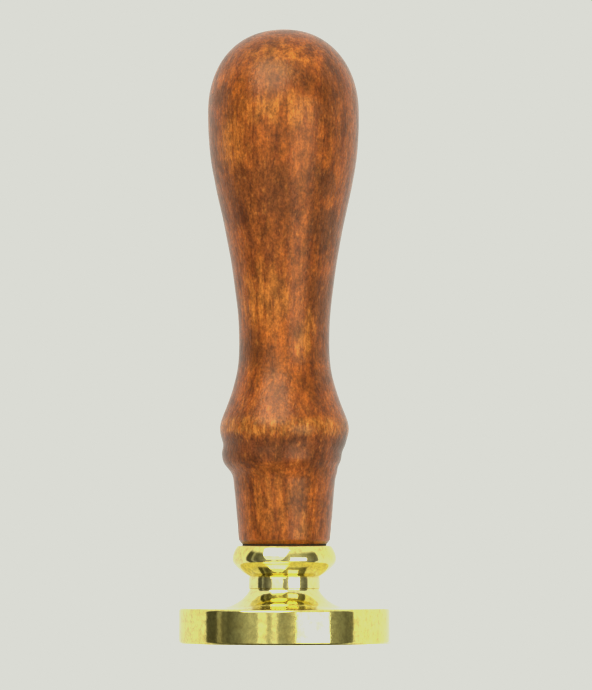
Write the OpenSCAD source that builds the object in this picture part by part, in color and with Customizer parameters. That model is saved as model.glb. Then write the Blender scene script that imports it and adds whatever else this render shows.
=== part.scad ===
// Hand stamp for sealing wax: a turned wooden handle that unscrews from a turned brass head.
// Millimetres. The origin is the centre of the stamping face and +Z runs up the handle.

/* [Stamping head] */
// Diameter of the stamping face
die_d = 30; // [26:0.5:34]
// Thickness of the disc that carries the face
die_t = 5; // [4.7:0.1:5.3]
// Height of the whole brass head, up to its flat collar
head_h = 13.85; // [13.2:0.05:14.5]
// Diameter of the plain band round the neck
neck_d = 10.2; // [9.6:0.1:10.8]
// Diameter of the bead above the neck
bead_d = 14.8; // [14:0.1:16]
// Depth of the engraving in the face
engraving_depth = 0.5; // [0.3:0.1:0.8]
// Petals in the engraved rosette
petal_count = 8; // [6:1:9]
// Dots in the engraved border
dot_count = 36; // [24:1:40]

/* [Washer] */
// Thickness of the washer between the head and the handle
washer_t = 0.25; // [0.2:0.05:0.6]
// Diameter of the washer
washer_d = 11.9; // [11:0.1:12.4]

/* [Handle] */
// Length of the wooden handle
handle_l = 73; // [68:0.1:80]
// Diameter of the round end of the grip
grip_d = 21.45; // [20:0.05:24]
// Diameter of the waist above the ring
waist_d = 12.8; // [12:0.05:14]
// Diameter of the turned ring near the foot
ring_d = 18.3; // [17.5:0.05:20]
// Diameter of the foot above its bevel
foot_d = 12.95; // [12.6:0.05:13.4]

/* [Screw joint] */
// Pitch of the screw thread
pitch = 1; // [1]
// Outside diameter of the screw thread
thread_d = 6.9; // [6.8:0.05:6.9]
// Gap between the two threads, on the radius
thread_gap = 0.1; // [0.08:0.01:0.12]
// Length of the threaded insert in the handle
insert_l = 12; // [10:0.5:13]
// Diameter over the knurl of the threaded insert
insert_d = 9; // [8.8:0.1:9]

/* [Hidden] */
$fn = 128;

eps = 0.01;

// Screw thread: a basic 60 degree form, cut in flat facets that follow the helix
thread_facets = 24;
thread_depth = 0.56;
flank_rise = thread_depth * tan(30);
root_flat = 0.19;
crest_flat = pitch - root_flat - 2 * flank_rise;
thread_form = [0, root_flat, root_flat + flank_rise, root_flat + flank_rise + crest_flat];
plain_end = 0.5;

// Blind hole in the brass head, and the stud fixed in it
hole_r = 3.5;
hole_floor = 5.7;
drill_half_angle = 59;
hole_bevel = 0.3;
stud_turns = 15;
insert_thread_start = 6;
insert_thread_turns = 16;

// Stamping head
die_r = die_d / 2;
neck_r = neck_d / 2;
bead_r = bead_d / 2;
collar_r = bead_r - 0.8;
disc_edge = 0.4;
flare_r = die_r - 5.6;
band_low = head_h - 6.1;
band_high = head_h - 4.5;
band_step = 0.1;
bead_mid = head_h - 2;

// Engraving: petals round a plain centre, a ring of seeds, and a border of dots
petal_in = 2.4;
petal_out = die_r - 5.4;
petal_w = 2.7;
seed_r = 0.55;
seed_circle = die_r - 5.6;
dot_r = 0.6;
dot_circle = die_r - 2.1;
vein_w = 0.35;

// Handle
foot_z = head_h + washer_t;
foot_r = foot_d / 2;
ring_r = ring_d / 2;
waist_r = waist_d / 2;
grip_r = grip_d / 2;
foot_flat_r = foot_r - 0.45;
foot_bevel = 0.55;
ring_h = 16.3;
waist_h = 28.5;
crown_h = 12.15;
grip_h = handle_l - crown_h;
crown_power = 2.2;
crown_steps = 14;
station_steps = 6;

// Threaded insert and its bore in the handle
insert_sink = 0.2;
insert_z = foot_z + insert_sink;
bore_gap = 0.08;
bore_r = insert_d / 2 + bore_gap;
bore_l = insert_sink + insert_l + 2.2;
knurl_teeth = 30;
knurl_depth = 0.28;
groove_r = insert_d / 2 - 0.45;
groove_l = 1.2;
pilot_l = 1;
mouth_r = 3.85;
mouth_l = 0.6;

// --- Functions ---------------------------------------------------------------------------

function mix(a, b, t) = a + (b - a) * t;

// Point of a cubic Bezier curve
function bezier_at(p, t) =
    pow(1 - t, 3) * p[0] + 3 * pow(1 - t, 2) * t * p[1] + 3 * (1 - t) * t * t * p[2] + t * t * t * p[3];

// Points of a cubic Bezier curve, both ends included
function bezier(p, steps) = [for (i = [0:steps]) bezier_at(p, i / steps)];

// Points of an arc round the point c, both ends included
function arc(c, r, from, to, steps) =
    [for (i = [0:steps]) let (a = mix(from, to, i / steps)) c + r * [cos(a), sin(a)]];

// Radius on a smooth curve between two stations [height, radius, slope]
function station_r(a, b, t) =
    let (l = b[0] - a[0])
    (2 * pow(t, 3) - 3 * t * t + 1) * a[1] + (pow(t, 3) - 2 * t * t + t) * l * a[2]
    + (3 * t * t - 2 * pow(t, 3)) * b[1] + (pow(t, 3) - t * t) * l * b[2];

// Outline points [radius, height] through a list of stations
function through(stations, steps) = [
    for (k = [0:len(stations) - 2], i = [0:steps - 1])
        let (a = stations[k], b = stations[k + 1], t = i / steps)
            [station_r(a, b, t), mix(a[0], b[0], t)]
];

// Points of a regular ring of n corners
function ring_points(r, n) = [for (i = [0:n - 1]) r * [cos(360 * i / n), sin(360 * i / n)]];

// Point at a radius, a height and a whole number of thread facets round the axis
function facet_point(r, z, i) = [r * cos(360 * i / thread_facets), r * sin(360 * i / thread_facets), z];

// --- Parts of the solids -----------------------------------------------------------------

// Rod with a helical thread that fades out over its first and last turns. The thread leaves
// the angle 0 at the height z, and the rod has a plain end above and below it.
module thread_solid(z, turns, crest_r) {
    n = thread_facets;
    m = n * turns;
    root_r = crest_r - thread_depth;
    inner = m + n + 1;
    lower = inner + 3 * (m + 1);
    upper = lower + n;
    top_z = z + pitch * (turns + 1) + plain_end;
    points = [
        for (i = [0:m + n]) facet_point(root_r, z + pitch * i / n, i),
        for (j = [1:3], i = [0:m])
            let (fade = j == 1 ? 0 : min(1, i / n, (m - i) / n))
                facet_point(root_r + thread_depth * fade, z + thread_form[j] + pitch * i / n, i),
        for (i = [0:n - 1]) facet_point(root_r, z - plain_end, i),
        for (i = [0:n - 1]) facet_point(root_r, top_z, i),
    ];
    // Index of the point at a place j on the thread form and a facet i
    function at(j, i) = j == 4 ? i + n : (j == 0 ? i : inner + (j - 1) * (m + 1) + i);
    faces = [
        for (i = [0:m - 1], j = [0:3]) each [
            [at(j + 1, i), at(j + 1, i + 1), at(j, i + 1)],
            [at(j + 1, i), at(j, i + 1), at(j, i)],
        ],
        for (i = [0:n - 2]) [i, i + 1, lower + i + 1, lower + i],
        [n - 1, n, at(3, 0), at(2, 0), at(1, 0), 0, lower, lower + n - 1],
        for (i = [1:n - 1]) [upper + i, upper + (i + 1) % n, m + i + 1, m + i],
        [upper + 1, m + 1, m, at(1, m), at(2, m), at(3, m), m + n, upper],
        [for (i = [0:n - 1]) lower + i],
        [for (i = [n - 1:-1:0]) upper + i],
    ];
    polyhedron(points, faces);
}

// Blind drilled hole that opens upwards at the height z
module drilled_hole(r, z, floor_z) {
    rotate_extrude()
        polygon([
            [0, floor_z - r / tan(drill_half_angle)], [r, floor_z], [r, z - hole_bevel],
            [r + hole_bevel, z], [r + hole_bevel, z + 1], [0, z + 1],
        ]);
}

// Pointed petal along +X, between two radii, as the overlap of two discs
module petal(inner, outer, w) {
    half = (outer - inner) / 2;
    r = (half * half + w * w / 4) / w;
    translate([(inner + outer) / 2, 0])
        intersection() {
            translate([0, r - w / 2]) circle(r);
            translate([0, w / 2 - r]) circle(r);
        }
}

// Everything cut into the stamping face. A vein that isn't cut runs along each petal.
module engraving() {
    for (i = [0:petal_count - 1]) {
        rotate([0, 0, 360 * i / petal_count])
            difference() {
                petal(petal_in, petal_out, petal_w);
                translate([petal_in, -vein_w / 2]) square([petal_out - petal_in, vein_w]);
            }
        rotate([0, 0, 360 * (i + 0.5) / petal_count]) translate([seed_circle, 0]) circle(seed_r);
    }
    for (i = [0:dot_count - 1]) rotate([0, 0, 360 * i / dot_count]) translate([dot_circle, 0]) circle(dot_r);
}

// Band of straight knurling
module knurl(z, l) {
    tip = insert_d / 2;
    translate([0, 0, z])
        linear_extrude(l)
            polygon([
                for (i = [0:knurl_teeth - 1]) each [
                    tip * [cos(360 * i / knurl_teeth), sin(360 * i / knurl_teeth)],
                    (tip - knurl_depth) * [cos(360 * (i + 0.5) / knurl_teeth), sin(360 * (i + 0.5) / knurl_teeth)],
                ]
            ]);
}

// --- Sub-parts ---------------------------------------------------------------------------

module brass_head() {
    cove_r = neck_r - band_step;
    flare = bezier([
        [flare_r, die_t], [mix(cove_r, flare_r, 0.45), die_t + 0.25],
        [mix(cove_r, flare_r, 0.12), die_t + 1.5], [cove_r, band_low - 0.2],
    ], 10);
    bead_under = bezier([
        [cove_r, band_high + 0.1], [cove_r + 0.55, band_high + 0.3],
        [bead_r, bead_mid - 0.8], [bead_r, bead_mid],
    ], 8);
    bead_over = bezier([
        [bead_r, bead_mid], [bead_r, bead_mid + 0.85],
        [bead_r - 0.45, head_h - 0.35], [collar_r, head_h],
    ], 6);
    color("gold")
        difference() {
            rotate_extrude()
                polygon(concat(
                    [[0, 0]],
                    arc([die_r - disc_edge, disc_edge], disc_edge, -90, 0, 4),
                    arc([die_r - disc_edge, die_t - disc_edge], disc_edge, 0, 90, 4),
                    flare,
                    [[cove_r, band_low], [neck_r, band_low + 0.1], [neck_r, band_high - 0.1], [cove_r, band_high]],
                    bead_under,
                    [for (i = [1:len(bead_over) - 1]) bead_over[i]],
                    [[0, head_h]]
                ));
            drilled_hole(hole_r, head_h, hole_floor);
            translate([0, 0, -eps]) linear_extrude(engraving_depth + eps) engraving();
        }
}

module threaded_stud() {
    color("silver") thread_solid(hole_floor + plain_end, stud_turns, thread_d / 2);
}

module washer() {
    color("black")
        translate([0, 0, head_h])
            difference() {
                cylinder(h = washer_t, d = washer_d);
                translate([0, 0, -1]) cylinder(h = washer_t + 2, r = hole_r + hole_bevel);
            }
}

module wooden_handle() {
    stations = [
        [foot_bevel, foot_r, 0.095],
        [9, mix(foot_r, ring_r, 0.28), 0.11],
        [11.3, mix(foot_r, ring_r, 0.626), 0.6],
        [12.7, mix(foot_r, ring_r, 0.764), 0.09],
        [14.2, mix(foot_r, ring_r, 0.832), 0.23],
        [ring_h, ring_r, 0],
        [19.2, mix(waist_r, ring_r, 0.685), -0.4],
        [23.4, mix(waist_r, ring_r, 0.19), -0.25],
        [waist_h, waist_r, 0],
        [mix(waist_h, grip_h, 0.262), mix(waist_r, grip_r, 0.158), 0.145],
        [mix(waist_h, grip_h, 0.561), mix(waist_r, grip_r, 0.556), 0.225],
        [mix(waist_h, grip_h, 0.74), mix(waist_r, grip_r, 0.841), 0.18],
        [grip_h, grip_r, 0],
    ];
    crown = [
        for (i = [0:crown_steps])
            let (a = 90 * i / crown_steps)
                [grip_r * pow(cos(a), 2 / crown_power), grip_h + crown_h * pow(sin(a), 2 / crown_power)]
    ];
    color("sienna")
        translate([0, 0, foot_z])
            difference() {
                rotate_extrude()
                    polygon(concat([[0, 0], [foot_flat_r, 0]], through(stations, station_steps), crown));
                mirror([0, 0, 1]) translate([0, 0, -bore_l]) drilled_hole(bore_r, bore_l, 0);
            }
}

module threaded_insert() {
    band_l = (insert_l - groove_l - pilot_l) / 2;
    corners = 2 * knurl_teeth;
    color("darkgray")
        difference() {
            translate([0, 0, insert_z]) {
                linear_extrude(insert_l) polygon(ring_points(groove_r, corners));
                knurl(0, band_l);
                knurl(band_l + groove_l, band_l);
            }
            thread_solid(
                hole_floor + plain_end + insert_thread_start * pitch, insert_thread_turns, thread_d / 2 + thread_gap
            );
            translate([0, 0, insert_z - eps])
                linear_extrude(mouth_l, scale = (mouth_r - mouth_l) / mouth_r)
                    polygon(ring_points(mouth_r, thread_facets));
        }
}

brass_head();
threaded_stud();
washer();
wooden_handle();
threaded_insert();
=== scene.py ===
"""Looks of the sealing-wax hand stamp: turned brass head, washer, screw joint and turned wooden handle."""
import math

import bmesh
import bpy
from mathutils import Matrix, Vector, noise
from mathutils.geometry import delaunay_2d_cdt


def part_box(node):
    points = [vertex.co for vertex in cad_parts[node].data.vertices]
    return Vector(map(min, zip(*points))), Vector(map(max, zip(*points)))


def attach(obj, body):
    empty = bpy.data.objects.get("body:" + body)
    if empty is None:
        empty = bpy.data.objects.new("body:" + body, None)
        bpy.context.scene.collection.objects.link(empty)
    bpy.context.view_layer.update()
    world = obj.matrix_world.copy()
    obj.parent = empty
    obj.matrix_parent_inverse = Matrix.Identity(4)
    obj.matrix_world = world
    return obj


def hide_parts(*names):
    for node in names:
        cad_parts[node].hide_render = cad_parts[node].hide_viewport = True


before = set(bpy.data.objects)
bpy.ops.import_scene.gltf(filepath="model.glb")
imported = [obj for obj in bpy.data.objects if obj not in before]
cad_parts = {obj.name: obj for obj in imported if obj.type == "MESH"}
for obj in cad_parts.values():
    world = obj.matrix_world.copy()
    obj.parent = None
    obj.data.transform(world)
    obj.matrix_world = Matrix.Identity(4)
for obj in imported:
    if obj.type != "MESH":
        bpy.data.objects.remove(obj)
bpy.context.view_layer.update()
MM = 0.001

# --- Sizes, from the frame ---------------------------------------------------------------

HEAD_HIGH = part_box("brass_head")[1]
STUD_LOW, STUD_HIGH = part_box("threaded_stud")
WASHER_LOW, WASHER_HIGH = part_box("washer")
HANDLE_LOW, HANDLE_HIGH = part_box("wooden_handle")
INSERT_LOW, INSERT_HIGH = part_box("threaded_insert")

DIE_R = HEAD_HIGH[0]
COLLAR_Z = HEAD_HIGH[2]
FOOT_Z = HANDLE_LOW[2]
TOP_Z = HANDLE_HIGH[2]
GRIP_R = HANDLE_HIGH[0]
THREAD_R = STUD_HIGH[0]
INSERT_R = INSERT_HIGH[0]

# Shared by several pieces
DRILL_POINT = math.tan(math.radians(59))  # half of a drill's 118 degree point
TIP_R = 0.2 * MM  # smallest ring, which one point on the axis closes
TIP_H = 0.12 * MM  # height of that ring from the bottom of a drilled hole
GUARD = 0.04 * MM  # distance of the guard points beside a rounded edge

# Brass head, as in the CAD model
DIE_T = 5 * MM
NECK_R = 5.1 * MM
BEAD_R = 7.4 * MM
COVE_R = NECK_R - 0.1 * MM
FLARE_R = DIE_R - 5.6 * MM
COLLAR_R = BEAD_R - 0.8 * MM
BAND_LOW = COLLAR_Z - 6.1 * MM
BAND_HIGH = COLLAR_Z - 4.5 * MM
BEAD_Z = COLLAR_Z - 2 * MM
DISC_EDGE = 0.4 * MM
BAND_TAPER = 0.06 * MM
HOLE_R = 3.5 * MM
HOLE_FLOOR = STUD_LOW[2]

# Engraving
ENGRAVING = 0.5 * MM
PETALS = 8
PETAL_IN = 2.4 * MM
PETAL_OUT = DIE_R - 5.4 * MM
PETAL_W = 2.7 * MM
VEIN_W = 0.35 * MM
SEED_R = 0.55 * MM
SEED_CIRCLE = DIE_R - 5.6 * MM
DOTS = 36
DOT_R = 0.6 * MM
DOT_CIRCLE = DIE_R - 2.1 * MM

# Screw thread
PITCH = 1 * MM
THREAD_DEPTH = 0.56 * MM
THREAD_GAP = 0.1 * MM
PLAIN_END = 0.5 * MM

# Handle
FOOT_R = 6.475 * MM
RING_R = 9.15 * MM
WAIST_R = 6.4 * MM
CROWN_H = 12.15 * MM
GRIP_Z = TOP_Z - CROWN_H
BORE_R = INSERT_R + 0.08 * MM
BORE_L = 14.4 * MM

# Insert
INSERT_MOUTH_R = 3.85 * MM
KNURL_TEETH = 30
KNURL_DEPTH = 0.28 * MM
KNURL_GROOVE = 1.2 * MM
KNURL_PILOT = 1 * MM
KNURL_BAND = (INSERT_HIGH[2] - INSERT_LOW[2] - KNURL_GROOVE - KNURL_PILOT) / 2

# --- Outlines ----------------------------------------------------------------------------


def bezier(points, steps):
    """Points of a cubic Bezier curve given by four (radius, height) points, both ends included."""
    a, b, c, d = (Vector(p) for p in points)
    out = []
    for i in range(steps + 1):
        t = i / steps
        s = 1 - t
        out.append(tuple(s**3 * a + 3 * s * s * t * b + 3 * s * t * t * c + t**3 * d))
    return out


def arc(centre, radius, start, end, steps):
    """Points of an arc, from one angle in degrees to another, both ends included."""
    out = []
    for i in range(steps + 1):
        angle = math.radians(start + (end - start) * i / steps)
        out.append((centre[0] + radius * math.cos(angle), centre[1] + radius * math.sin(angle)))
    return out


def through(stations, steps):
    """Smooth outline through stations (height, radius, slope of the radius)."""
    out = []
    for (z0, r0, s0), (z1, r1, s1) in zip(stations, stations[1:]):
        length = z1 - z0
        for i in range(steps):
            t = i / steps
            radius = (
                (2 * t**3 - 3 * t * t + 1) * r0 + (t**3 - 2 * t * t + t) * length * s0
                + (3 * t * t - 2 * t**3) * r1 + (t**3 - t * t) * length * s1
            )
            out.append((radius, z0 + t * length))
    return out


def rounded(corners, steps=4, guard=GUARD):
    """Outline through corners (radius, height, rounding). A rounded corner gets a short curve, with a
    guard point beyond each end of it so that the flats beside it stay flat when shaded smooth."""
    out = []
    for k, corner in enumerate(corners):
        here = Vector(corner[:2])
        cut = corner[2] if len(corner) > 2 else 0
        if not cut:
            out.append(tuple(here))
            continue
        back = (Vector(corners[k - 1][:2]) - here).normalized()
        ahead = (Vector(corners[(k + 1) % len(corners)][:2]) - here).normalized()
        out.append(tuple(here + back * (cut + guard)))
        for i in range(steps + 1):
            t = i / steps
            out.append(tuple(here + back * cut * (1 - t) ** 2 + ahead * cut * t**2))
        out.append(tuple(here + ahead * (cut + guard)))
    return out


# --- Turned pieces -----------------------------------------------------------------------


def round_axis(r, angle, z):
    """Point at a distance from the Z axis."""
    return (r * math.cos(angle), r * math.sin(angle), z)


class Skin:
    """Points and faces of one closed piece, built ring by ring round the Z axis."""

    def __init__(self, corners):
        self.corners = corners
        self.points = []
        self.faces = []

    def ring(self, radius, z, shape=None):
        """Adds a ring of points. shape(angle, radius, z) gives the radius where it isn't round."""
        start = len(self.points)
        for k in range(self.corners):
            angle = 2 * math.pi * k / self.corners
            r = shape(angle, radius, z) if shape else radius
            self.points.append(round_axis(r, angle, z))
        return list(range(start, len(self.points)))

    def bridge(self, low, high):
        """Joins two rings of the same number of points."""
        for k in range(len(low)):
            n = (k + 1) % len(low)
            self.faces.append((low[k], low[n], high[n], high[k]))

    def outline(self, outline, shape=None):
        """Adds and joins a ring for each point of an outline. Returns the first and the last ring."""
        rings = [self.ring(r, z, shape) for r, z in outline]
        for low, high in zip(rings, rings[1:]):
            self.bridge(low, high)
        return rings[0], rings[-1]

    def close(self, ring, z):
        """Closes a ring with one point on the axis."""
        tip = len(self.points)
        self.points.append((0, 0, z))
        for k in range(len(ring)):
            self.faces.append((ring[k], ring[(k + 1) % len(ring)], tip))

    def thread(self, low, high, z, turns, radius, ridge, form):
        """Joins two rings by a helical ridge that fades out over its first and last turns. form lists
        (place in the pitch, share of the ridge's height) and starts at the ridge's foot."""
        n = self.corners
        last = n * turns
        index = {}
        for i in range(last + n + 1):
            for j, (place, height) in enumerate(form):
                if i > last and j:
                    continue
                fade = min(1, i / n, max(0, last - i) / n)
                r = radius + ridge * height * fade
                angle = 2 * math.pi * i / n
                index[j, i] = len(self.points)
                self.points.append(round_axis(r, angle, z + PITCH * (place + i / n)))
        for i in range(last):
            index[len(form), i] = index[0, i + n]
            index[len(form), i + 1] = index[0, i + 1 + n]
            for j in range(len(form)):
                self.faces.append((index[j, i], index[j, i + 1], index[j + 1, i + 1], index[j + 1, i]))
        for i in range(n - 1):
            self.faces.append((low[i], low[i + 1], index[0, i + 1], index[0, i]))
            top = last + i + 1
            self.faces.append((index[0, top], index[0, top + 1], high[(i + 2) % n], high[i + 1]))
        seam = [index[j, 0] for j in range(len(form))]
        self.faces.append((low[-1], low[0], *seam, index[0, n], index[0, n - 1]))
        seam = [index[j, last] for j in range(len(form))]
        self.faces.append((high[1], index[0, last + 1], *seam, index[0, last + n], high[0]))

    def piece(self, name, sharp_angle=40):
        """The finished object: outward faces, smooth except along sharp edges."""
        mesh = bpy.data.meshes.new(name)
        mesh.from_pydata(self.points, [], self.faces)
        bm = bmesh.new()
        bm.from_mesh(mesh)
        bmesh.ops.recalc_face_normals(bm, faces=bm.faces)
        for face in bm.faces:
            face.smooth = True
        for edge in bm.edges:
            if edge.is_manifold and edge.calc_face_angle() > math.radians(sharp_angle):
                edge.smooth = False
        bm.to_mesh(mesh)
        bm.free()
        obj = bpy.data.objects.new(name, mesh)
        bpy.context.scene.collection.objects.link(obj)
        return obj


# --- Brass head --------------------------------------------------------------------------


def turned(point, angle):
    """A point turned round the axis."""
    x, y = point
    return (x * math.cos(angle) - y * math.sin(angle), x * math.sin(angle) + y * math.cos(angle))


def disc_loop(x, radius, corners=20):
    """Loop of a round cut whose centre is x along the X axis."""
    return [
        (x + radius * math.cos(2 * math.pi * k / corners), radius * math.sin(2 * math.pi * k / corners))
        for k in range(corners)
    ]


def half_petal_loop(side, steps=18):
    """Loop of the half of a pointed petal that lies on one side of its vein."""
    half = (PETAL_OUT - PETAL_IN) / 2
    middle = (PETAL_OUT + PETAL_IN) / 2
    arc_r = (half * half + PETAL_W * PETAL_W / 4) / PETAL_W
    reach = math.sqrt(arc_r**2 - (arc_r - PETAL_W / 2 + VEIN_W / 2) ** 2)
    loop = []
    for k in range(steps + 1):
        x = reach * math.cos(math.pi * k / steps)
        loop.append((middle + x, side * (math.sqrt(arc_r**2 - x * x) - arc_r + PETAL_W / 2)))
    return loop


def engraved_loops():
    """Loops of every cut in the stamping face."""
    loops = []
    for k in range(PETALS):
        angle = 2 * math.pi * k / PETALS
        for side in (-1, 1):
            loops.append([turned(p, angle) for p in half_petal_loop(side)])
        loops.append([turned(p, angle + math.pi / PETALS) for p in disc_loop(SEED_CIRCLE, SEED_R)])
    for k in range(DOTS):
        loops.append([turned(p, 2 * math.pi * k / DOTS) for p in disc_loop(DOT_CIRCLE, DOT_R)])
    return loops


def engrave(skin, rim):
    """Fills a ring with the flat stamping face and sinks the engraving into it as rounded hollows."""
    flat = list(rim)
    outlines = [list(range(len(rim)))]
    hollow_steps = (0.93, 0.8, 0.62, 0.4, 0.2)
    for loop in engraved_loops():
        first = len(flat)
        edge = []
        for x, y in loop:
            edge.append(len(skin.points))
            skin.points.append((x, y, 0))
        flat.extend(edge)
        outlines.append(list(range(first, len(flat))))
        centre = sum((Vector(p) for p in loop), Vector((0, 0))) / len(loop)
        ring = edge
        for share in hollow_steps:
            inner = []
            for p in loop:
                x, y = centre + (Vector(p) - centre) * share
                inner.append(len(skin.points))
                skin.points.append((x, y, ENGRAVING * math.sqrt(1 - share**2)))
            skin.bridge(ring, inner)
            ring = inner
        skin.faces.append(tuple(ring))
    plan = [Vector(skin.points[i][:2]) / MM for i in flat]
    found = delaunay_2d_cdt(plan, [], outlines, 2, 1e-6)
    names = [flat[sources[0]] for sources in found[3]]
    for face in found[2]:
        skin.faces.append(tuple(names[i] for i in face))


def make_brass_head():
    """The head as one solid of revolution with rounded edges, its engraved face and its blind hole."""
    face_r = DIE_R - DISC_EDGE - 0.5 * MM
    flare = bezier(
        [
            (FLARE_R, DIE_T), (COVE_R + (FLARE_R - COVE_R) * 0.45, DIE_T + 0.25 * MM),
            (COVE_R + (FLARE_R - COVE_R) * 0.12, DIE_T + 1.5 * MM), (COVE_R, BAND_LOW - 0.2 * MM),
        ],
        28,
    )
    bead_under = bezier(
        [
            (COVE_R, BAND_HIGH + 0.1 * MM), (COVE_R + 0.55 * MM, BAND_HIGH + 0.3 * MM),
            (BEAD_R, BEAD_Z - 0.8 * MM), (BEAD_R, BEAD_Z),
        ],
        28,
    )
    bead_over = bezier(
        [
            (BEAD_R, BEAD_Z), (BEAD_R, BEAD_Z + 0.85 * MM),
            (BEAD_R - 0.45 * MM, COLLAR_Z - 0.35 * MM), (COLLAR_R + 0.1 * MM, COLLAR_Z - 0.07 * MM),
        ],
        18,
    )
    band_top_r = NECK_R - BAND_TAPER
    tip_drop = HOLE_R / DRILL_POINT
    low_edge = arc((DIE_R - DISC_EDGE, DISC_EDGE), DISC_EDGE, -90, 0, 8)
    high_edge = arc((DIE_R - DISC_EDGE, DIE_T - DISC_EDGE), DISC_EDGE, 0, 90, 8)
    outline = rounded(
        [
            (face_r, 0), (DIE_R - DISC_EDGE - GUARD, 0), *low_edge, (DIE_R, DISC_EDGE + GUARD),
            (DIE_R, DIE_T - DISC_EDGE - GUARD), *high_edge, (DIE_R - DISC_EDGE - GUARD, DIE_T),
            (FLARE_R + 0.3 * MM, DIE_T), *flare,
            (COVE_R, BAND_LOW, 0.05 * MM), (NECK_R, BAND_LOW + 0.06 * MM, 0.05 * MM),
            (band_top_r, BAND_HIGH - 0.06 * MM, 0.05 * MM), (COVE_R, BAND_HIGH, 0.04 * MM),
            *bead_under, *bead_over[1:],
            (COLLAR_R, COLLAR_Z, 0.06 * MM), (HOLE_R + 0.3 * MM, COLLAR_Z, 0.04 * MM),
            (HOLE_R, COLLAR_Z - 0.3 * MM, 0.04 * MM), (HOLE_R, HOLE_FLOOR, 0.1 * MM),
            (TIP_R, HOLE_FLOOR - tip_drop + TIP_H),
        ],
        guard=0.03 * MM,
    )
    skin = Skin(256)
    rim, inside = skin.outline(outline)
    skin.close(inside, HOLE_FLOOR - tip_drop)
    engrave(skin, rim)
    return skin.piece("brass_head_turned")


# --- Screw joint and washer --------------------------------------------------------------

# Ridges, from foot to foot: place in the pitch and share of the depth. The insert's ridge points
# inwards and lies in the stud's groove, so it starts part of a turn later.
STUD_RIDGE = [(0, 0), (0.19, 0), (0.23, 0.08), (0.48, 0.9), (0.52, 1), (0.67, 1), (0.71, 0.9), (0.96, 0.08)]
STUD_TURNS = 15
NUT_RIDGE = [(0, 0), (0.15, 0), (0.19, 0.1), (0.44, 0.92), (0.48, 1), (0.67, 1), (0.71, 0.92), (0.96, 0.1)]
NUT_START_TURN = 8.52
NUT_TURNS = 10


def make_stud():
    """Stud with a fine helical thread and rounded ends."""
    root = THREAD_R - THREAD_DEPTH
    low, high = STUD_LOW[2], STUD_HIGH[2]
    skin = Skin(72)
    bottom = rounded([(TIP_R, low), (root, low, 0.2 * MM), (root, low + 0.45 * MM)])
    top = rounded([(root, high - 0.45 * MM), (root, high, 0.2 * MM), (TIP_R, high)])
    under, start = skin.outline(bottom)
    end, over = skin.outline(top)
    skin.close(under, low)
    skin.close(over, high)
    skin.thread(start, end, low + PLAIN_END, STUD_TURNS, root, THREAD_DEPTH, STUD_RIDGE)
    return skin.piece("stud_thread")


def knurled(angle, radius, z):
    """Radius of the insert's outside, with straight knurling on its two bands."""
    height = z - INSERT_LOW[2]
    in_band = height < KNURL_BAND or KNURL_BAND + KNURL_GROOVE < height < 2 * KNURL_BAND + KNURL_GROOVE
    if radius < INSERT_R - KNURL_DEPTH or not in_band:
        return radius
    wave = 0.5 + 0.5 * math.cos(KNURL_TEETH * angle)
    return radius - KNURL_DEPTH * (1 - wave)


def make_insert():
    """Knurled insert with its internal thread and a countersunk mouth."""
    low, high = INSERT_LOW[2], INSERT_HIGH[2]
    groove_low, groove_high = low + KNURL_BAND, low + KNURL_BAND + KNURL_GROOVE
    slim = INSERT_R - 0.45 * MM
    edge = 0.15 * MM
    root = THREAD_R + THREAD_GAP
    skin = Skin(120)
    mouth = [
        (root, low + 0.37 * MM), (root + 0.02 * MM, low + 0.33 * MM), (INSERT_MOUTH_R, low + 0.02 * MM)
    ]
    outside = [
        (INSERT_MOUTH_R + 0.05 * MM, low), (slim, low), (INSERT_R, low + edge),
        (INSERT_R, groove_low - edge), (slim, groove_low + edge),
        (slim, groove_high - edge), (INSERT_R, groove_high + edge),
        (INSERT_R, high - KNURL_PILOT - edge), (slim, high - KNURL_PILOT), (slim, high - edge),
        (slim - edge, high), (root + edge, high), (root, high - edge),
    ]
    start, end = skin.outline(mouth + outside, knurled)
    nut_z = STUD_LOW[2] + PLAIN_END + NUT_START_TURN * PITCH
    skin.thread(start, end, nut_z, NUT_TURNS, root, -THREAD_DEPTH, NUT_RIDGE)
    return skin.piece("insert_nut")


def make_washer():
    """Thin flat washer with soft edges."""
    inner = HOLE_R + 0.3 * MM
    outer = WASHER_HIGH[0]
    low, high = WASHER_LOW[2], WASHER_HIGH[2]
    edge = 0.07 * MM
    corners = [(inner, low, edge), (outer, low, edge), (outer, high, edge), (inner, high, edge)]
    skin = Skin(160)
    first, last = skin.outline(rounded(corners))
    skin.bridge(last, first)
    return skin.piece("washer_ring")


# --- Wooden handle -----------------------------------------------------------------------

HANDLE_STATIONS = [  # height above the foot, radius, slope of the radius
    (0.55 * MM, FOOT_R, 0.095),
    (9 * MM, 7.22 * MM, 0.11),
    (11.3 * MM, 8.15 * MM, 0.6),
    (12.7 * MM, 8.52 * MM, 0.09),
    (14.2 * MM, 8.7 * MM, 0.23),
    (16.3 * MM, RING_R, 0),
    (19.2 * MM, 8.28 * MM, -0.4),
    (23.4 * MM, 6.92 * MM, -0.25),
    (28.5 * MM, WAIST_R, 0),
    (37 * MM, 7.08 * MM, 0.145),
    (46.7 * MM, 8.8 * MM, 0.225),
    (52.5 * MM, 10.04 * MM, 0.18),
    (GRIP_Z - FOOT_Z, GRIP_R, 0),
]
CROWN_POWER = 2.2
STEP_Z = FOOT_Z + 12 * MM
STEP_SPAN = 1.6 * MM
STEP_OFFSET = 0.37 * MM
BOW = 0.2 * MM
WAVER = 0.035 * MM
WAVER_ROUND = 1.1
WAVER_LENGTH = 4 * MM


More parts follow.
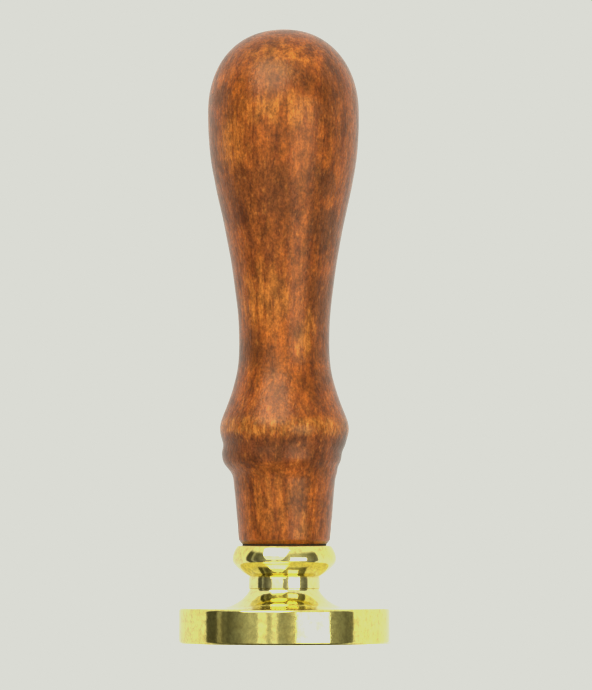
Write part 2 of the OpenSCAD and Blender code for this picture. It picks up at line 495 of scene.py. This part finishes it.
def hand_turned(angle, radius, z):
    """Radius of the handle's outside: the step under the ring was cut off centre, the blank has dried
    with a slight bow, and sanding left the surface a little uneven."""
    if radius < FOOT_R - 0.5 * MM and z < FOOT_Z + BORE_L + 5 * MM:
        return radius
    off_centre = STEP_OFFSET * math.exp(-(((z - STEP_Z) / STEP_SPAN) ** 4))
    height = (z - FOOT_Z) / (TOP_Z - FOOT_Z)
    bow = BOW * height**2 * min(1, radius / WAIST_R)
    here = Vector((math.cos(angle), math.sin(angle), 0)) * WAVER_ROUND
    here.z = z / WAVER_LENGTH
    share = min(1, radius / FOOT_R) * min(1, (z - FOOT_Z) / (2 * MM))
    return radius - (off_centre + bow) * math.cos(angle) + WAVER * share * (noise.noise(here) - 0.4)


def make_handle():
    """The handle as one solid of revolution with its blind bore."""
    crown_steps = 56
    crown = []
    for k in range(crown_steps):
        a = 0.5 * math.pi * k / crown_steps
        r = GRIP_R * math.cos(a) ** (2 / CROWN_POWER)
        crown.append((r, GRIP_Z + CROWN_H * math.sin(a) ** (2 / CROWN_POWER)))
    side = [(r, FOOT_Z + h) for r, h in through(HANDLE_STATIONS, 14)]
    bore_tip = FOOT_Z + BORE_L + BORE_R / DRILL_POINT
    flat_r = FOOT_R - 0.45 * MM
    foot = rounded(
        [
            (TIP_R, bore_tip - TIP_H), (BORE_R, FOOT_Z + BORE_L, 0.1 * MM),
            (BORE_R, FOOT_Z + 0.3 * MM, 0.05 * MM), (BORE_R + 0.3 * MM, FOOT_Z, 0.05 * MM),
            (flat_r, FOOT_Z, 0.08 * MM), (FOOT_R, FOOT_Z + 0.55 * MM, 0.15 * MM), side[1],
        ]
    )
    skin = Skin(224)
    inside, top = skin.outline(foot[:-1] + side[1:] + crown, hand_turned)
    skin.close(inside, bore_tip)
    skin.close(top, TOP_Z)
    return skin.piece("handle_turned")


# --- Materials ---------------------------------------------------------------------------


class Graph:
    """Short calls for the nodes of a material or a world."""

    def __init__(self, tree):
        self.tree = tree

    def node(self, kind, inputs=None, **settings):
        """Adds a node, sets it up, and links or sets its inputs."""
        made = self.tree.nodes.new("ShaderNode" + kind)
        for key, value in settings.items():
            setattr(made, key, value)
        for key, value in (inputs or {}).items():
            self.feed(made.inputs[key], value)
        return made

    def feed(self, socket, value):
        """Links an output to a socket, or sets the socket to a plain value."""
        if isinstance(value, bpy.types.NodeSocket):
            self.tree.links.new(value, socket)
        else:
            socket.default_value = value

    def math(self, operation, a, b=0.0):
        return self.node("Math", {0: a, 1: b}, operation=operation).outputs[0]

    def spread(self, value, low, high, to_low=0.0, to_high=1.0):
        """value, carried smoothly from the range low-high to another range."""
        inputs = {"Value": value, "From Min": low, "From Max": high, "To Min": to_low, "To Max": to_high}
        return self.node("MapRange", inputs, interpolation_type="SMOOTHSTEP").outputs["Result"]

    def band(self, height, edges):
        """1 between two edges, each given by the heights where it starts and ends, and 0 outside."""
        (low_out, low_in), (high_in, high_out) = edges
        return self.math(
            "MULTIPLY", self.spread(height, low_out, low_in), self.spread(height, high_out, high_in)
        )


class Shader(Graph):
    """A Principled material and short calls for the nodes that feed it."""

    def __init__(self, name):
        self.material = bpy.data.materials.new(name)
        self.material.use_nodes = True
        super().__init__(self.material.node_tree)
        self.surface = self.tree.nodes["Principled BSDF"]
        self.place = self.node("TexCoord").outputs["Object"]

    def set(self, **values):
        """Feeds the surface's inputs, named with _ for a space."""
        for key, value in values.items():
            self.feed(self.surface.inputs[key.replace("_", " ")], value)

    def stretched(self, scale, shift=(0, 0, 0)):
        """Object coordinates, scaled along each axis."""
        return self.node("Mapping", {"Vector": self.place, "Scale": scale, "Location": shift}).outputs[0]

    def noise(self, scale, detail=2.0, rough=0.5, shift=(0, 0, 0)):
        """Noise with features of about 1 / scale metres along each axis."""
        place = self.stretched(scale, shift)
        inputs = {"Vector": place, "Scale": 1.0, "Detail": detail, "Roughness": rough}
        return self.node("TexNoise", inputs).outputs["Fac"]

    def mix(self, share, a, b, blend="MIX"):
        """Colour a, with share of colour b blended in."""
        made = self.node("Mix", data_type="RGBA", blend_type=blend)
        self.feed(made.inputs["Factor"], share)
        self.feed(made.inputs[6], a)
        self.feed(made.inputs[7], b)
        return made.outputs[2]

    def bump(self, height, distance, under=None):
        """Normal of a surface raised by height times distance, in metres."""
        inputs = {"Height": height, "Distance": distance}
        if under is not None:
            inputs["Normal"] = under
        return self.node("Bump", inputs).outputs["Normal"]

    def around(self):
        """(distance from the axis, height), for marks that run round a turned piece."""
        x, y, z = self.node("SeparateXYZ", {0: self.place}).outputs
        squares = self.math("ADD", self.math("MULTIPLY", x, x), self.math("MULTIPLY", y, y))
        return self.math("SQRT", squares), z

    def vector(self, operation, a, b):
        return self.node("VectorMath", {0: a, 1: b}, operation=operation).outputs[0]

    def patches(self, place, spots):
        """Soft patches on the front: 0 outside, up to each one's own strength in its middle."""
        total = 0.0
        for across, height, half_width, half_height, strength in spots:
            scale = (1 / (half_width * MM), 0, 1 / (half_height * MM))
            shift = (-across / half_width, 0, -height / half_height)
            local = self.node("Mapping", {"Vector": place, "Scale": scale, "Location": shift}).outputs[0]
            away = self.node("VectorMath", {0: local}, operation="LENGTH").outputs["Value"]
            total = self.math("MAXIMUM", self.spread(away, *PATCH_EDGE, 0, strength), total)
        depth = self.node("SeparateXYZ", {0: self.place}).outputs[1]
        return self.math("MULTIPLY", total, self.spread(depth, *PATCH_SIDES))

    def turning(self, pitch):
        """Noise in fine rings round the axis, as a lathe tool leaves them."""
        r, z = self.around()
        place = self.node("CombineXYZ", {0: r, 1: z}).outputs[0]
        scaled = self.node("VectorMath", {0: place, "Scale": 1 / pitch}, operation="SCALE").outputs[0]
        return self.node("TexNoise", {"Vector": scaled, "Scale": 1.0, "Detail": 2.0}).outputs["Fac"]


BRASS = (0.88, 0.785, 0.26, 1)
BRASS_DULL = (0.78, 0.63, 0.17, 1)
BRASS_TARNISHED = (0.66, 0.54, 0.17, 1)
# paler brass painted over the flare, neck and bead underside: a painted reflection of bounced light
BRASS_PAINTED_REFLECTION = (0.86, 0.8, 0.44, 1)
PAINTED_REFLECTION_BAND = ((DIE_T, DIE_T + 0.6 * MM), (COLLAR_Z - 2.45 * MM, COLLAR_Z - 1.05 * MM))
LATHE_MARKS = 0.09 * MM


def brass_material():
    """Polished brass with faint turning rings, fine haze and speckled tarnish, and a paler reflection painted
    into the neck's hollow.
    """
    s = Shader("polished_brass")
    cloud = s.noise((260, 260, 260), 4, 0.6)
    grain = s.noise((2600, 2600, 2600), 3, 0.7, shift=(3, 1, 2))
    rings = s.turning(LATHE_MARKS)
    spots = s.noise((1300, 1300, 1300), 3, 0.65, shift=(6, 2, 5))
    speckle = s.noise((1800, 1800, 1400), 3, 0.7, shift=(8, 3, 2))
    painted_reflection = s.band(s.around()[1], PAINTED_REFLECTION_BAND)
    colour = s.mix(s.spread(cloud, 0.4, 0.75), BRASS, BRASS_DULL)
    colour = s.mix(s.spread(spots, 0.4, 0.7, 0, 0.55), colour, BRASS_TARNISHED)
    # painted reflection: the neck's hollow is made paler, for light bounced round it
    colour = s.mix(s.math("MULTIPLY", painted_reflection, 0.4), colour, BRASS_PAINTED_REFLECTION)
    colour = s.mix(1.0, colour, s.spread(speckle, 0.32, 0.68, 0.84, 1.13), "MULTIPLY")
    haze = s.math("ADD", s.spread(cloud, 0.3, 0.8, 0.045, 0.11), s.spread(grain, 0.5, 0.8, 0, 0.05))
    uneven = s.bump(spots, 0.006 * MM, under=s.bump(cloud, 0.02 * MM))
    s.set(Metallic=1.0, Base_Color=colour, Roughness=haze, Normal=s.bump(rings, 0.0012 * MM, under=uneven))
    return s.material


def steel_material():
    """Bright zinc plate on steel."""
    s = Shader("plated_steel")
    cloud = s.noise((900, 900, 900), 4, 0.6)
    s.set(
        Metallic=1.0,
        Base_Color=s.mix(s.spread(cloud, 0.35, 0.7), (0.74, 0.74, 0.73, 1), (0.58, 0.59, 0.6, 1)),
        Roughness=s.spread(cloud, 0.3, 0.75, 0.2, 0.38),
        Normal=s.bump(s.turning(0.06 * MM), 0.002 * MM),
    )
    return s.material


def washer_material():
    """Matt black rubber."""
    s = Shader("black_washer")
    grain = s.noise((6000, 6000, 6000), 3, 0.6)
    s.set(
        Base_Color=s.mix(grain, (0.012, 0.009, 0.005, 1), (0.026, 0.02, 0.012, 1)),
        Roughness=s.spread(grain, 0.3, 0.7, 0.55, 0.8),
        Specular_IOR_Level=0.15,
        Normal=s.bump(grain, 0.01 * MM),
    )
    return s.material


STAIN_PATCHES = [  # across, height, half width, half height in mm, and strength: where stain gathered
    (-1.8, 80.4, 3, 2.4, 0.35), (6.3, 77.5, 1.5, 6, 0.6), (2.6, 80, 2, 1.8, 0.5), (-8.3, 77, 2.4, 1.7, 0.6),
    (-9, 66, 1.2, 9, 0.35), (-3.5, 63.5, 5.5, 4.2, 0.55), (5.8, 65, 1.2, 2.8, 0.7),
    (5.7, 58.4, 2.1, 3.4, 0.75), (-2.5, 57.5, 4, 3, 0.3), (4.9, 48.5, 1.5, 4, 0.6),
    (-4.6, 41.5, 1.9, 3, 0.65), (4.4, 40.6, 3.6, 1, 0.5), (5.5, 37.6, 1.4, 1.4, 0.4),
    (-6, 27, 2.5, 2.4, 0.5), (2, 20.5, 1.2, 4, 0.25),
]
PALE_AND_HIGHLIGHT_PATCHES = [  # the same, for paler patches: some where the stain was rubbed thin, some painted highlights where the lamps shine on the front
    (-2.6, 75.4, 2.8, 2, 0.4), (1.7, 75.2, 2.6, 2.2, 0.32), (-7, 71, 2, 4.5, 0.3), (3, 44.2, 1, 2.8, 0.45),
    (-2.6, 49, 3.4, 4.8, 0.35), (-1, 82.5, 4.5, 2, 0.25), (-1.5, 20, 3.4, 4, 0.15), (2.4, 16.6, 1, 2, 0.4),
]
PATCH_EDGE = (1.35, 0.6)  # shares of a patch's half size between which it fades in
PATCH_SIDES = (2 * MM, -3 * MM)  # depths between which the patches fade in, from the back to the front
WANDER = (4.5 * MM, 4.5 * MM, 7 * MM)  # how strongly the patches' outlines wander along each axis

WOOD_DARK = (0.14, 0.0275, 0.004, 1)
WOOD_LIGHT = (0.295, 0.072, 0.008, 1)
WOOD_CLOUD = (0.1, 0.022, 0.006, 1)
# paler colour of rubbed stain, also used for painted highlights
WOOD_RUBBED_AND_HIGHLIGHT = (0.5, 0.18, 0.027, 1)
WOOD_STAINED = (0.08, 0.0235, 0.0065, 1)
# painted shade: the dark colour of the band under the ring
WOOD_UNDER_RING_SHADE = (0.08, 0.021, 0.008, 1)
WOOD_FLECK = (0.5, 0.165, 0.026, 1)
# painted highlight: the paler colour of the band on the ring
WOOD_RING_HIGHLIGHT = (0.48, 0.18, 0.032, 1)
WOOD_PORE = (0.06, 0.016, 0.006, 1)
# heights of the painted shade band under the ring
UNDER_RING_SHADE_BAND = ((FOOT_Z + 9.7 * MM, FOOT_Z + 12.9 * MM), (FOOT_Z + 14.5 * MM, FOOT_Z + 15.7 * MM))
# heights of the painted highlight band on the ring
RING_HIGHLIGHT_BAND = ((FOOT_Z + 14.9 * MM, FOOT_Z + 15.9 * MM), (FOOT_Z + 17.1 * MM, FOOT_Z + 18.3 * MM))
BAND_WAVER = 2.2 * MM


def wood_material():
    """Beech with an uneven orange-brown stain under a satin finish, with painted highlights and a painted
    shade band under the ring.
    """
    s = Shader("stained_wood")
    cloud = s.noise((230, 230, 150), 4, 0.65, shift=(0.7, 0.2, 0.4))
    streak = s.noise((1000, 1000, 110), 3, 0.7)
    mottle = s.noise((420, 420, 300), 4, 0.85, shift=(2, 4, 1))
    flecks = s.noise((2300, 2300, 650), 2, 0.6, shift=(9, 7, 3))
    pores = s.noise((3300, 3300, 900), 2, 0.6, shift=(5, 2, 1))
    grain = s.noise((3300, 3300, 2300), 2, 0.7, shift=(1, 8, 4))
    wander = s.node("TexNoise", {"Vector": s.stretched((600, 600, 330)), "Scale": 1.0, "Detail": 4.0})
    wander = s.vector("SUBTRACT", wander.outputs["Color"], (0.5, 0.5, 0.5))
    rough_place = s.vector("ADD", s.place, s.vector("MULTIPLY", wander, WANDER))
    stained = s.math("MULTIPLY", s.patches(rough_place, STAIN_PATCHES), s.spread(mottle, 0.3, 0.6, 0.5, 1))
    # pale patches: partly rubbed stain, partly painted highlights
    rubbed_and_highlight = s.math("MULTIPLY", s.patches(rough_place, PALE_AND_HIGHLIGHT_PATCHES), s.spread(streak, 0.35, 0.6, 0.2, 1))
    waver = s.math("MULTIPLY", s.math("SUBTRACT", streak, 0.5), BAND_WAVER)
    height = s.math("ADD", s.around()[1], waver)
    # painted shade under the ring, darkening the step
    under_ring_shade = s.math("MULTIPLY", s.band(height, UNDER_RING_SHADE_BAND), 0.6)
    # painted highlight on the ring, broken up by the flecks
    ring = s.math("MULTIPLY", s.band(height, RING_HIGHLIGHT_BAND), s.spread(flecks, 0.35, 0.65, 0.05, 0.5))

    colour = s.mix(s.spread(streak, 0.3, 0.7), WOOD_DARK, WOOD_LIGHT)
    colour = s.mix(s.spread(cloud, 0.46, 0.68, 0, 0.4), colour, WOOD_CLOUD)
    colour = s.mix(rubbed_and_highlight, colour, WOOD_RUBBED_AND_HIGHLIGHT)
    colour = s.mix(stained, colour, WOOD_STAINED)
    colour = s.mix(under_ring_shade, colour, WOOD_UNDER_RING_SHADE)
    colour = s.mix(s.spread(flecks, 0.55, 0.75, 0, 0.3), colour, WOOD_FLECK)
    colour = s.mix(ring, colour, WOOD_RING_HIGHLIGHT)
    colour = s.mix(s.spread(pores, 0.56, 0.74, 0, 0.6), colour, WOOD_PORE)
    colour = s.mix(1.0, colour, s.spread(mottle, 0.3, 0.7, 0.45, 1.17), "MULTIPLY")
    colour = s.mix(1.0, colour, s.spread(grain, 0.3, 0.7, 0.7, 1.3), "MULTIPLY")
    s.set(
        Base_Color=colour,
        Roughness=s.spread(mottle, 0.3, 0.7, 0.34, 0.27),
        Specular_IOR_Level=0.32,
        Specular_Tint=(1.0, 0.62, 0.32, 1),
        Coat_Weight=0.18,
        Coat_Roughness=0.3,
        Coat_IOR=1.5,
        Normal=s.bump(pores, 0.05 * MM, under=s.bump(mottle, 0.1 * MM)),
    )
    return s.material


# --- The object --------------------------------------------------------------------------


def place(piece, body, node, slot, material):
    """Puts a material on a piece that stands for a CAD node and moves with a body."""
    piece.data.materials.append(material)
    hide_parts(node)
    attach(piece, body)


steel = steel_material()
place(make_brass_head(), "head", "brass_head", "polished_brass", brass_material())
place(make_stud(), "head", "threaded_stud", "plated_steel", steel)
place(make_washer(), "washer", "washer", "black_washer", washer_material())
place(make_handle(), "handle", "wooden_handle", "stained_wood", wood_material())
place(make_insert(), "handle", "threaded_insert", "plated_steel", steel)


# --- Studio ------------------------------------------------------------------------------

WHITE = (0.701, 0.708, 0.658)  # what the camera makes of white
FLOOR_COLOUR = (0.9, 0.9, 0.9, 1)
FLOOR_REACH = 6.0

CAMERA_AWAY = 946 * MM
FRAME_HEIGHT = 97.9 * MM
FRAME_X = 1.64 * MM
FRAME_Z = 42.3 * MM
EYE_Z = 20.4 * MM

SOFTBOXES = [  # name, azimuth and elevation in degrees, width and height in metres, and power
    ("softbox_right", 31.8, -4, (0.81, 0.81), 9),
    ("softbox_left", -24, 42, (1.1, 0.8), 16),
]
SOFTBOX_AWAY = 1.2
LOOK_AT = Vector((0, 0, 20 * MM))

TINT = (1.0, 1.0, 0.95, 1)
BACKDROP = 1.3  # as the camera sees it
ABOVE = 1.4
ABOVE_FADE = (0.48, 0.68)
BELOW = 0.15
BELOW_FADE = (-0.85, -0.55)
SURROUNDINGS = [  # azimuth in degrees from behind the camera, clockwise from above, and radiance
    (-180, 1.3), (-95, 1.3), (-94, 0.12), (-79, 0.12), (-78, 0.47), (-73, 0.47), (-72, 0.2), (-67, 0.2),
    (-64, 0.14), (-59, 0.19), (-49, 0.35), (-37, 0.68), (-30, 0.7), (-28.5, 1.5), (-20, 1.5), (-18, 0.7),
    (-14.5, 0.8), (-13, 1.3), (-8.5, 1.3), (-6, 0.54), (3, 0.5), (11, 0.95), (51, 0.5), (61, 0.36),
    (71, 0.22), (80, 0.24), (82, 1.5), (180, 1.4),
]
PANEL = 2.8
PANEL_AZIMUTH = -23
PANEL_HALF_WIDTH = 16
PANEL_FLARE = 28
PANEL_BAND = ((0.03, 0.05), (0.9, 0.97))


def make_world():
    """Pale surroundings with the darker gaps and bright strips that polished metal shows."""
    world = bpy.data.worlds.new("studio")
    bpy.context.scene.world = world
    world.use_nodes = True
    world.node_tree.nodes.clear()
    g = Graph(world.node_tree)
    x, y, height = g.node("SeparateXYZ", {0: g.node("TexCoord").outputs["Generated"]}).outputs
    azimuth = g.math("ARCTAN2", x, g.math("MULTIPLY", y, -1.0))
    ramp = g.node("ValToRGB", {0: g.math("ADD", g.math("DIVIDE", azimuth, 2 * math.pi), 0.5)})
    stops = ramp.color_ramp.elements
    while len(stops) > 1:
        stops.remove(stops[-1])
    for k, (degrees, radiance) in enumerate(SURROUNDINGS):
        stop = stops[0] if k == 0 else stops.new(0.5 + degrees / 360)
        stop.position = 0.5 + degrees / 360
        stop.color = (radiance, radiance, radiance, 1)
    level = g.spread(height, *ABOVE_FADE, ramp.outputs["Color"], ABOVE)
    level = g.spread(height, *BELOW_FADE, BELOW, level)

    # A bright panel to the left, which widens with its height
    off = g.math("SUBTRACT", g.math("MULTIPLY", azimuth, 180 / math.pi), PANEL_AZIMUTH)
    off = g.math("SUBTRACT", g.math("ABSOLUTE", off), g.math("MULTIPLY", height, PANEL_FLARE))
    within = g.spread(off, PANEL_HALF_WIDTH + 1, PANEL_HALF_WIDTH - 1)
    level = g.spread(g.math("MULTIPLY", within, g.band(height, PANEL_BAND)), 0, 1, level, PANEL)

    around = g.node("Background", {"Color": TINT, "Strength": level})
    behind = g.node("Background", {"Strength": BACKDROP})
    seen = g.node("LightPath").outputs["Is Camera Ray"]
    both = g.node("MixShader", {0: seen, 1: around.outputs[0], 2: behind.outputs[0]})
    g.node("OutputWorld", {"Surface": both.outputs[0]})


def make_floor():
    """Plain pale floor."""
    corners = [(x * FLOOR_REACH, y * FLOOR_REACH, 0) for x, y in ((-1, -1), (1, -1), (1, 1), (-1, 1))]
    mesh = bpy.data.meshes.new("floor")
    mesh.from_pydata(corners, [], [(0, 1, 2, 3)])
    floor = bpy.data.objects.new("floor", mesh)
    bpy.context.scene.collection.objects.link(floor)
    s = Shader("pale_floor")
    s.set(Base_Color=FLOOR_COLOUR, Roughness=1.0, Specular_IOR_Level=0.0)
    mesh.materials.append(s.material)
    floor.visible_glossy = False
    floor.visible_shadow = False


def make_softbox(name, azimuth, elevation, size, power):
    """Rectangular area light that faces the stamp, placed as seen from it."""
    light = bpy.data.lights.new(name, "AREA")
    light.shape = "RECTANGLE"
    light.size, light.size_y = size
    light.energy = power
    box = bpy.data.objects.new(name, light)
    a, e = math.radians(azimuth), math.radians(elevation)
    away = Vector((math.sin(a) * math.cos(e), -math.cos(a) * math.cos(e), math.sin(e)))
    box.location = LOOK_AT + away * SOFTBOX_AWAY
    box.rotation_euler = away.to_track_quat("Z", "Y").to_euler()
    bpy.context.scene.collection.objects.link(box)


def make_camera():
    """Long lens, almost level with the head."""
    camera = bpy.data.cameras.new("camera")
    camera.sensor_width = 36
    camera.lens = camera.sensor_width * CAMERA_AWAY / FRAME_HEIGHT
    camera.clip_start = 0.01
    camera.clip_end = 20
    eye = bpy.data.objects.new("camera", camera)
    eye.location = (FRAME_X, -CAMERA_AWAY, EYE_Z)
    aim = Vector((FRAME_X, 0, FRAME_Z)) - eye.location
    eye.rotation_euler = aim.to_track_quat("-Z", "Y").to_euler()
    bpy.context.scene.collection.objects.link(eye)
    bpy.context.scene.camera = eye


def expose():
    """Camera response: everything at or above white comes out as the same pale grey."""
    settings = bpy.context.scene.view_settings
    settings.view_transform = "Standard"
    settings.use_curve_mapping = True
    curves = settings.curve_mapping
    curves.extend = "HORIZONTAL"
    for curve, top in zip(curves.curves, WHITE):
        curve.points[-1].location = (1, top)
        for point in curve.points:
            point.handle_type = "VECTOR"
    curves.update()


make_world()
make_floor()
for softbox in SOFTBOXES:
    make_softbox(*softbox)
make_camera()
expose()
